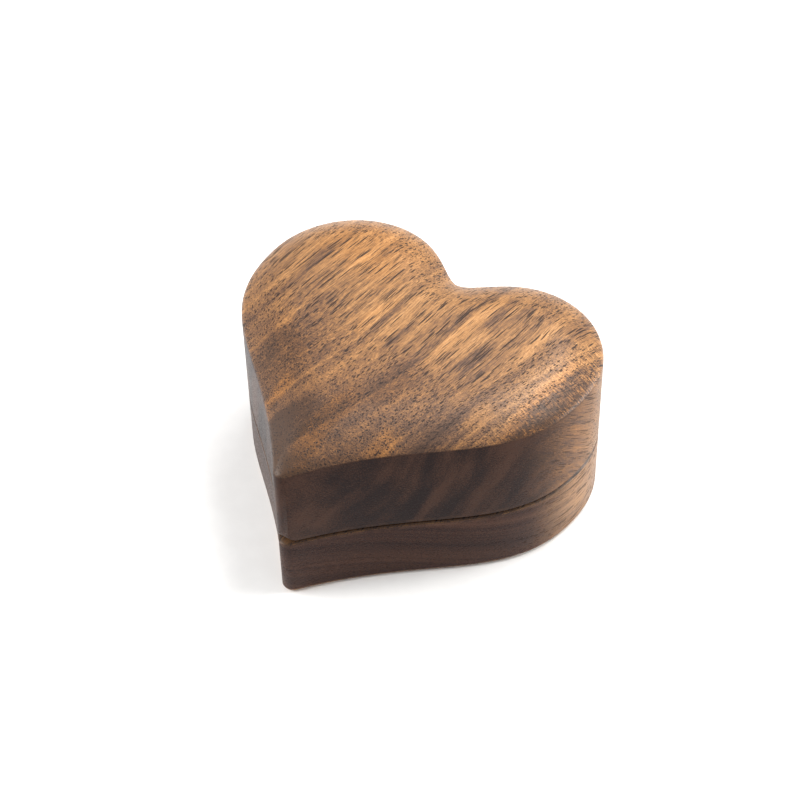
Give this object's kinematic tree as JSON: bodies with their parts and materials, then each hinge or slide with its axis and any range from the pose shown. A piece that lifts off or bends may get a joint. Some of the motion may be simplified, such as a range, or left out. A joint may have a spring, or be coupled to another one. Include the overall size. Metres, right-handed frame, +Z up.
{
  "type": "ring box",
  "caption": "Heart-shaped walnut ring box with a pillowed lid that flips up on concealed barrel hinges over a slotted velvet ring cushion.",
  "frame": {"origin": "on the table, under the middle of the closed box", "axes": "+X across the lobes, +Y from the tip towards the lobes and hinges, +Z up"},
  "size_m": [0.06, 0.0552, 0.0308],
  "materials": {
    "walnut_base": "oiled walnut, satin",
    "walnut_lid": "oiled walnut, satin",
    "cushion_velvet": "short-pile velvet",
    "lining_velvet": "short-pile velvet",
    "nickel": "nickel plate, bright",
    "brass": "turned brass",
    "steel": "drawn wire"
  },
  "bodies": {
    "base": {"base_shell": "walnut_base", "cushion_front": "cushion_velvet", "cushion_back": "cushion_velvet", "base_magnet": "nickel", "left_base_barrel": "brass", "left_hinge_pin": "steel", "right_base_barrel": "brass", "right_hinge_pin": "steel"},
    "lid": {"lid_shell": "walnut_lid", "lid_lining": "lining_velvet", "lid_magnet": "nickel", "left_lid_barrel": "brass", "right_lid_barrel": "brass"}
  },
  "joints": [
    {"name": "lid_hinge", "type": "hinge", "parent": "base", "child": "lid", "pos_m": [0, 0.0242, 0.01185], "axis": [-1, 0, 0], "range_deg": [0, 95]}
  ]
}
